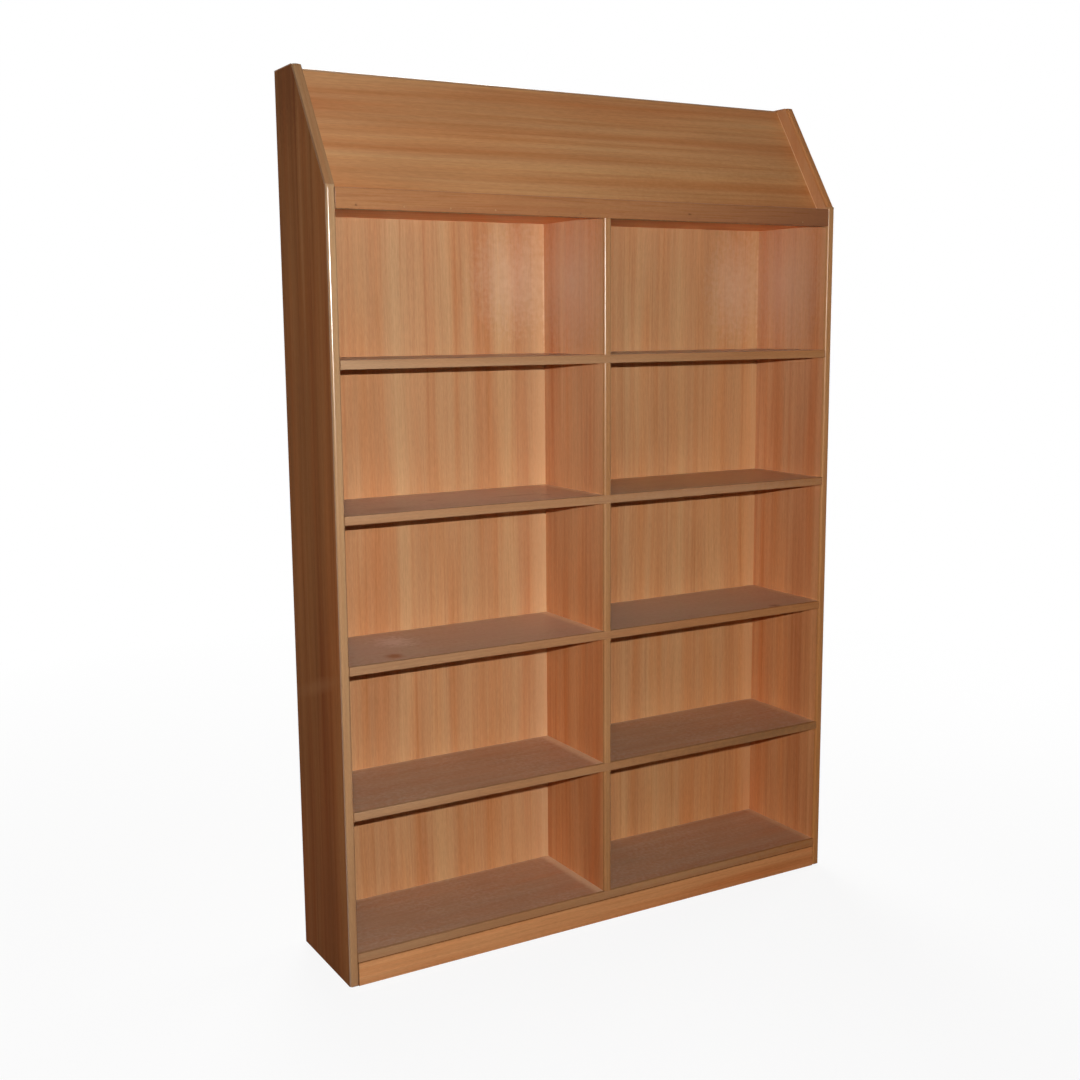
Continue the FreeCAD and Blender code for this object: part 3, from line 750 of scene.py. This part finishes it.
lippingInputs = {
    "Corner": "Vector", "Along": "Vector", "Across": "Vector", "Inward": "Vector",
    "Run": "Float", "Width": "Float", "Depth": "Float", "Arris": "Float", "Ease": "Float",
    "Foot Radius": "Float", "Head Radius": "Float", "Head Rise": "Float", "Lean": "Float",
    "Head Corner": "Float", "Foot Corner": "Float", "Section Cuts": "Int",
    "Wear": "Float", "Seed": "Int", "Rings": "Int", "Arc Points": "Int", "Finish": "Material",
}
lippingLook = {
    "usual": {
        "Arris": 0.005, "Ease": 0.0003, "Wear": 0.00025, "Arc Points": 8, "Rings": 60, "Section Cuts": 0,
        "Foot Radius": 0.0, "Head Radius": 0.0, "Head Rise": 0.0, "Lean": 0.0,
        "Head Corner": 0.0, "Foot Corner": 0.0,
    },
    "levelArris": 0.0009, "slopeArris": {"left": 0.002, "right": 0.005},
    "slopeCuts": 2, "frontRings": 220, "slopeRings": 90,
    "footRadius": 0.006, "noseRadius": 0.012, "headRadius": 0.009, "headCorner": 0.0065, "footCorner": 0.006,
    "wearScale": 22.0,
    "grainShift": (3.1, 0.13, 0.0),      # from the grain of one lipping to the next
}


def makeLippingTree(look):
    tree, given = startTree("lippingTree", "GeometryNodeTree", lippingInputs, {"Geometry": "Geometry"})
    swept = sweepSection(tree, given)
    share = readFromPoints(tree, "runShare", "FLOAT")
    crowded = calc(tree, "MULTIPLY_ADD", calc(tree, "COSINE", times(tree, share, math.pi)), -0.5, 0.5)
    parts = split(tree, readFromPoints(tree, "sectionPlace"))
    across = calc(tree, "MULTIPLY_ADD", given["Width"], 0.5, parts["X"])
    depth = calc(tree, "MULTIPLY_ADD", given["Depth"], 0.5, parts["Y"])
    headLoss = cornerLoss(tree, given, across, depth, given["Head Corner"])
    footLoss = cornerLoss(tree, given, across, depth, given["Foot Corner"])
    run = calc(tree, "MINIMUM", times(tree, crowded, given["Run"]), minus(tree, given["Run"], headLoss))
    run = calc(tree, "MAXIMUM", run, footLoss)
    toHead = times(tree, minus(tree, given["Run"], run), calc(tree, "COSINE", given["Lean"]))
    foot = endDepth(tree, run, given["Foot Radius"], given["Foot Radius"], 0.0)
    head = endDepth(tree, toHead, given["Head Radius"], given["Head Rise"], given["Lean"])
    depth = calc(tree, "MAXIMUM", depth, calc(tree, "MAXIMUM", foot, head))
    local = combine(tree, run, across, depth)
    rough = addNode(tree, "ShaderNodeTexNoise", {
        "Vector": local, "W": given["Seed"], "Scale": look["wearScale"], "Detail": 2.0,
    }, noise_dimensions="4D")
    worn = times(tree, times(tree, rough, given["Wear"]), frontness(tree, given, depth))
    place = given["Corner"]
    for direction, amount in (("Along", run), ("Across", across), ("Inward", calc(tree, "ADD", depth, worn))):
        place = vectorCalc(tree, "ADD", place, vectorCalc(tree, "SCALE", given[direction], amount))
    placed = addNode(tree, "GeometryNodeSetPosition", {"Geometry": swept, "Position": place})
    grain = vectorCalc(tree, "ADD", local, vectorCalc(tree, "SCALE", look["grainShift"], given["Seed"]))
    endGeometry(tree, storeOnPoints(tree, placed, "grainPlace", grain), given["Finish"])
    return tree


lippingTree = makeLippingTree(lippingLook)
lippingSeeds = itertools.count(1)


def makeLipping(name, node, values):
    shared = {"Inward": axisY, "Seed": next(lippingSeeds), "Finish": materials["lippingBeech"]}
    piece = meshFromTree(name, lippingTree, {**lippingLook["usual"], **shared, **values})
    tidyNormals(piece.data)
    evenNormals(piece)
    finishPiece(piece, node)


def makeLevelLipping(name, node):
    low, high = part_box(node)
    makeLipping(name, node, {
        "Corner": low, "Along": axisX, "Across": axisZ, "Run": high.x - low.x, "Width": high.z - low.z,
        "Depth": high.y - low.y, "Arris": lippingLook["levelArris"], "Finish": materials["levelBeech"],
    })


def makeUprightLipping(name, node, values):
    low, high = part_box(node)
    makeLipping(name, node, {
        "Corner": low, "Along": axisZ, "Across": axisX,
        "Run": high.z - low.z, "Width": high.x - low.x, "Depth": high.y - low.y, **values,
    })


# The largest of a node's faces whose normals have more than this cosine to a direction.
def largestFace(node, way, cosine):
    faces = [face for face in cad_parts[node].data.polygons if face.normal.dot(way) > cosine]
    return max(faces, key=lambda face: face.area)


outward = largestFace("display_panel", -axisY, cosine=0.5).normal.copy()      # the sides' slope has it too
upSlope = Vector((0, outward.z, -outward.y))
lean = math.atan2(upSlope.y, upSlope.z)

shelfNodes = ["bottom_shelf", "shelf_1", "shelf_2", "shelf_3", "shelf_4"]
for level in shelfNodes:
    makeLevelLipping(level + "Lipping", level + "_lipping")
for number in range(1, 6):
    makeUprightLipping("dividerLipping%d" % number, "divider_%d_lipping" % number,
                       {"Finish": materials["dividerBeech"]})

lippingWoods = {"left": ("lippingBeech", "slopeBeech"), "right": ("dullBeech", "rightSlopeBeech")}
for side, (frontWood, slopeWood) in lippingWoods.items():
    frontLow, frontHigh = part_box(side + "_front_lipping")
    slopeLow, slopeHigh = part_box(side + "_slope_lipping")
    lippingDepth = frontHigh.y - frontLow.y
    step = slopeLow.y - frontLow.y
    nose = lippingLook["noseRadius"]
    makeUprightLipping(side + "FrontLipping", side + "_front_lipping", {
        "Rings": lippingLook["frontRings"], "Foot Radius": lippingLook["footRadius"],
        "Foot Corner": lippingLook["footCorner"], "Head Radius": nose,
        "Head Rise": math.sqrt(nose ** 2 - (nose - step) ** 2), "Finish": materials[frontWood],
    })
    makeLipping(side + "SlopeLipping", side + "_slope_lipping", {
        "Corner": slopeLow, "Along": upSlope, "Across": axisX, "Inward": axisY / math.cos(lean), "Lean": lean,
        "Run": (slopeHigh.z - slopeLow.z) / math.cos(lean), "Width": slopeHigh.x - slopeLow.x,
        "Depth": lippingDepth, "Rings": lippingLook["slopeRings"], "Arris": lippingLook["slopeArris"][side],
        "Head Radius": lippingLook["headRadius"], "Head Rise": lippingLook["headRadius"],
        "Head Corner": lippingLook["headCorner"], "Section Cuts": lippingLook["slopeCuts"],
        "Finish": materials[slopeWood],
    })
panelPlaces = [vertex.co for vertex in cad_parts["display_panel"].data.vertices]
panelTop = max(panelPlaces, key=lambda place: place.z)
panelLow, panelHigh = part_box("display_panel")
makeLipping("displayLipping", "display_panel_lipping", {
    "Corner": Vector((panelLow.x, panelTop.y, panelTop.z)) + upSlope * lippingDepth,
    "Along": axisX, "Across": -outward, "Inward": -upSlope,
    "Run": panelHigh.x - panelLow.x, "Width": frontHigh.x - frontLow.x, "Depth": lippingDepth,
})
print("lippings made")


# Boards: prisms along X with eased edges

# Points of the arc that rounds a (y, z, radius) corner.
def roundedCorner(before, corner, after, steps=6):
    y, z, radius = corner
    if radius == 0:
        return [(y, z)]
    tip = Vector((y, z))
    toBefore = (Vector(before[:2]) - tip).normalized()
    toAfter = (Vector(after[:2]) - tip).normalized()
    half = toBefore.angle(toAfter) / 2
    centre = tip + (toBefore + toAfter).normalized() * radius / math.sin(half)
    start = tip + toBefore * radius / math.tan(half) - centre
    end = tip + toAfter * radius / math.tan(half) - centre
    turn = start.angle_signed(end)
    points = []
    for index in range(steps + 1):
        spoke = start.copy()
        spoke.rotate(Matrix.Rotation(-turn * index / steps, 2))
        points.append(tuple(centre + spoke))
    return points


# Prism along X from (y, z, radius) corners
def prismMesh(name, corners, xLow, xHigh):
    outline = []
    for index, corner in enumerate(corners):
        outline += roundedCorner(corners[index - 1], corner, corners[(index + 1) % len(corners)])
    shape = bmesh.new()
    lowRing = [shape.verts.new((xLow, y, z)) for y, z in outline]
    highRing = [shape.verts.new((xHigh, y, z)) for y, z in outline]
    shape.faces.new(lowRing)
    shape.faces.new(highRing)
    for index in range(len(outline)):
        shape.faces.new((lowRing[index - 1], lowRing[index], highRing[index], highRing[index - 1]))
    bmesh.ops.recalc_face_normals(shape, faces=shape.faces)
    mesh = bpy.data.meshes.new(name)
    shape.to_mesh(mesh)
    shape.free()
    return mesh


def squareCorners(low, high):
    return [(low.y, low.z, 0), (high.y, low.z, 0), (high.y, high.z, 0), (low.y, high.z, 0)]


def cutBox(piece, low, high):
    cutter = linkObject("cutter", prismMesh("cutter", squareCorners(low, high), low.x, high.x))
    modifier = piece.modifiers.new("cut", "BOOLEAN")
    modifier.operation = "DIFFERENCE"
    modifier.solver = "EXACT"
    modifier.object = cutter
    applyModifier(piece, modifier)
    bpy.data.objects.remove(cutter)


# Breaks the sharp edges of a board by a hair
def easeEdges(piece, ease, sharpAngle=math.radians(25)):
    shape = bmesh.new()
    shape.from_mesh(piece.data)
    sharp = [edge for edge in shape.edges if edge.is_manifold and edge.calc_face_angle() > sharpAngle]
    bmesh.ops.bevel(shape, geom=sharp, offset=ease, offset_type="OFFSET", segments=2, profile=0.5,
                    affect="EDGES", clamp_overlap=True)
    shape.to_mesh(piece.data)
    shape.free()
    tidyNormals(piece.data)
    evenNormals(piece)


boardLook = {"ease": 0.0004, "railArris": 0.0025, "rebateClearance": 0.0005}


def makeBoard(name, node, material, corners=None):
    low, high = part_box(node)
    piece = linkObject(name, prismMesh(name, corners or squareCorners(low, high), low.x, high.x))
    easeEdges(piece, boardLook["ease"])
    piece.data.materials.append(materials[material])
    finishPiece(piece, node)


# The highest divider is notched round the rail
def notchedCorners():
    low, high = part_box("divider_5")
    railLow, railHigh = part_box("front_rail")
    return [
        (low.y, low.z, 0), (high.y, low.z, 0), (high.y, high.z, 0),
        (railHigh.y, high.z, 0), (railHigh.y, railLow.z, 0), (low.y, railLow.z, 0),
    ]


def railCorners():
    low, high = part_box("front_rail")
    arris = boardLook["railArris"]
    return [(low.y, low.z, arris), (high.y, low.z, 0), (high.y, high.z, arris), (low.y, high.z, arris)]


for level in shelfNodes:
    makeBoard(level + "Board", level, "shelfVeneer")
makeBoard("topBoard", "top_board", "topVeneer")
makeBoard("plinthFront", "plinth_front", "plinthVeneer")
makeBoard("frontRail", "front_rail", "railBeech", railCorners())
for number in range(1, 5):
    makeBoard("divider%d" % number, "divider_%d" % number, "dividerVeneer")
makeBoard("divider5", "divider_5", "dividerVeneer", notchedCorners())


# Sides: rebated for the back, with one veneer outside, another inside and bare edges

def sideCorners(node):
    low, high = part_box(node)
    onSlope = largestFace(node, outward, cosine=0.999).center
    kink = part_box("left_front_lipping")[1].z
    return [
        (low.y, low.z, 0), (high.y, low.z, 0), (high.y, high.z, 0),
        (onSlope.y + (high.z - onSlope.z) * math.tan(lean), high.z, 0),
        (onSlope.y + (kink - onSlope.z) * math.tan(lean), kink, 0),
        (low.y, kink, 0),
    ]


# inward is 1 for the left side and -1 for the right one; the cutter stands past the panel's faces.
def makeSide(side, inward, past=0.01, flat=0.9):
    node = side + "_side_panel"
    low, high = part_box(node)
    piece = linkObject(side + "Side", prismMesh(side + "Side", sideCorners(node), low.x, high.x))
    backLow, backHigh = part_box(side + "_back_panel")
    clearance = boardLook["rebateClearance"]
    cutLow = Vector((low.x - past, backLow.y, low.z - past))
    cutHigh = Vector((high.x + past, high.y + past, backHigh.z + clearance))
    if inward > 0:
        cutLow.x = backLow.x - clearance
    else:
        cutHigh.x = backHigh.x + clearance
    cutBox(piece, cutLow, cutHigh)
    easeEdges(piece, boardLook["ease"])
    mesh = piece.data
    mesh.materials.clear()
    for material in ("outerVeneer", "dividerVeneer", "boardCore"):
        mesh.materials.append(materials[material])
    for face in mesh.polygons:
        facingIn = face.normal.x * inward
        face.material_index = 0 if facingIn < -flat else 1 if facingIn > flat else 2
    finishPiece(piece, node)


makeSide("left", 1)
makeSide("right", -1)
print("boards and sides made")


# Fastenings: trees that set a small form on each place

# Middle of each separate solid in a node, row by row
def solidCentres(node, mergeWithin=1e-6):
    shape = bmesh.new()
    shape.from_mesh(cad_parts[node].data)
    bmesh.ops.remove_doubles(shape, verts=shape.verts, dist=mergeWithin)
    unseen = set(shape.verts)
    centres = []
    while unseen:
        solid = {unseen.pop()}
        edgeOfSolid = set(solid)
        while edgeOfSolid:
            near = {edge.other_vert(vertex) for vertex in edgeOfSolid for edge in vertex.link_edges}
            edgeOfSolid = near - solid
            solid |= near
        unseen -= solid
        spans = [[vertex.co[axis] for vertex in solid] for axis in range(3)]
        centres.append(Vector([(min(span) + max(span)) / 2 for span in spans]))
    shape.free()
    return sorted(centres, key=lambda place: (round(place.z, 4), round(place.x, 4)))


# A tree that takes points, the sizes of the form to set on them, a seed and a finish.
def startFormTree(name, sizes):
    inputs = {"Geometry": "Geometry", **dict.fromkeys(sizes, "Float"), "Seed": "Int", "Finish": "Material"}
    return startTree(name, "GeometryNodeTree", inputs, {"Geometry": "Geometry"})


# A form on every point, its Z axis laid to the front, and turned by chance up to this many radians.
def placeForms(tree, given, form, turn):
    toFront = (math.radians(90), 0.0, 0.0)
    laid = addNode(tree, "GeometryNodeTransform", {"Geometry": form.outputs["Mesh"], "Rotation": toFront})
    chance = addNode(tree, "FunctionNodeRandomValue", {
        2: 0.0, 3: turn, "Seed": given["Seed"],      # 2 and 3 are the least and the most of a number
    }, data_type="FLOAT")
    placed = addNode(tree, "GeometryNodeInstanceOnPoints", {
        "Points": given["Geometry"], "Instance": laid, "Rotation": combine(tree, y=chance),
    })
    endGeometry(tree, placed, given["Finish"])


screwLook = {
    "sizes": {
        "Head Radius": 0.0034, "Shank Radius": 0.0017, "Length": 0.016,
        "Slot Length": 0.0042, "Slot Width": 0.0008, "Slot Depth": 0.001,
    },
    "sink": 0.0002, "sides": 20, "seed": 5,
}


# Countersunk cross-slot screw with its head's face at the origin, pointing to the front.
def makeScrewTree(look):
    tree, given = startFormTree("screwTree", look["sizes"])
    headDepth = minus(tree, given["Head Radius"], given["Shank Radius"])
    shankLength = minus(tree, given["Length"], headDepth)
    head = addNode(tree, "GeometryNodeMeshCone", {
        "Vertices": look["sides"], "Radius Top": given["Shank Radius"], "Radius Bottom": given["Head Radius"],
        "Depth": headDepth,
    })
    shank = addNode(tree, "GeometryNodeMeshCylinder", {
        "Vertices": look["sides"], "Radius": given["Shank Radius"], "Depth": shankLength,
    })
    lowered = addNode(tree, "GeometryNodeTransform", {
        "Geometry": shank.outputs["Mesh"],
        "Translation": combine(tree, z=calc(tree, "MULTIPLY_ADD", shankLength, 0.5, headDepth)),
    })
    solid = addNode(tree, "GeometryNodeJoinGeometry")
    for part in (head.outputs["Mesh"], lowered.outputs[0]):
        tree.links.new(part, solid.inputs[0])
    slotted = addNode(tree, "GeometryNodeMeshBoolean", {"Mesh 1": solid},
                      operation="DIFFERENCE", solver="EXACT")
    for long, wide in (("Slot Length", "Slot Width"), ("Slot Width", "Slot Length")):
        size = combine(tree, given[long], given[wide], times(tree, given["Slot Depth"], 2.0))
        cutter = addNode(tree, "GeometryNodeMeshCube", {"Size": size})
        tree.links.new(cutter.outputs["Mesh"], slotted.inputs["Mesh 2"])
    placeForms(tree, given, slotted, math.pi / 2)
    return tree


def makeScrews(look):
    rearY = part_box("left_back_panel")[1].y
    places = [(place.x, rearY - look["sink"], place.z) for place in solidCentres("back_screws")]
    values = {**look["sizes"], "Seed": look["seed"], "Finish": materials["zincSteel"]}
    screws = meshFromTree("backScrews", makeScrewTree(look), values, places)
    tidyNormals(screws.data)
    finishPiece(screws, "back_screws")


stoppingLook = {
    "sizes": {"Radius": 0.002, "Depth": 0.002}, "sides": 20, "seed": 2,
    "pale": (2, 3, 4, 12), "paleOthers": 0.1,      # which ones have stayed pale, and how pale the others are
    "light": (176, 138, 98), "dark": (132, 84, 48), "rough": 0.45, "gloss": 0.2,
    "grit": 2200.0, "gritShare": 0.25, "bump": 0.00005,
}


# Gritty stopping over a sunk pin
def makeStoppingFinish(look):
    material, tree = startMaterial("woodStopping")
    paleness = addNode(tree, "ShaderNodeAttribute", attribute_name="paleness").outputs["Fac"]
    tone = mixColor(tree, paleness, paint(*look["dark"]), paint(*look["light"]))
    grit = noise(tree, objectPlace(tree), look["grit"], 2.0)
    amount = remap(tree, grit, *noiseSpan, 0.0, look["gritShare"])
    return endMaterial(material, {
        "Base Color": mixColor(tree, amount, tone, paint(*look["dark"])),
        "Normal": raised(tree, grit, look["bump"]),
        "Roughness": look["rough"], "Specular IOR Level": look["gloss"],
    })


def makeStoppingTree(look):
    tree, given = startFormTree("stoppingTree", look["sizes"])
    plug = addNode(tree, "GeometryNodeMeshCylinder", {
        "Vertices": look["sides"], "Radius": given["Radius"], "Depth": given["Depth"],
    })
    placeForms(tree, given, plug, math.pi)
    return tree


def makeStoppings(look):
    places = solidCentres("rail_fillers")
    paleness = [1.0 if number in look["pale"] else look["paleOthers"] for number in range(1, len(places) + 1)]
    values = {**look["sizes"], "Seed": look["seed"], "Finish": makeStoppingFinish(look)}
    stoppings = meshFromTree("railStoppings", makeStoppingTree(look), values, places, {"paleness": paleness})
    tidyNormals(stoppings.data)
    finishPiece(stoppings, "rail_fillers")


makeScrews(screwLook)
makeStoppings(stoppingLook)
print("fastenings made")


# The other nodes keep their shape

dressed = {
    "edgingBeech": ("left_top_edging", "right_top_edging"),
    "headerVeneer": ("display_panel", "header_top_rail", "header_centre_web"),
    "plinthVeneer": ("plinth_back", "plinth_centre_bearer"),
    "backVeneer": ("left_back_panel", "right_back_panel"),
    "softwood": (
        "left_header_batten", "right_header_batten", "left_front_corner_block", "right_front_corner_block",
        "left_back_corner_block", "right_back_corner_block",
    ),
    "rawBeech": ("shelf_dowels", "divider_dowels", "plinth_dowels", "header_dowels"),
    "zincSteel": ("rail_pins",),
}
for dressedMaterial, dressedNodes in dressed.items():
    for dressedNode in dressedNodes:
        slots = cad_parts[dressedNode].data.materials
        slots.clear()
        slots.append(materials[dressedMaterial])
print("other nodes finished")
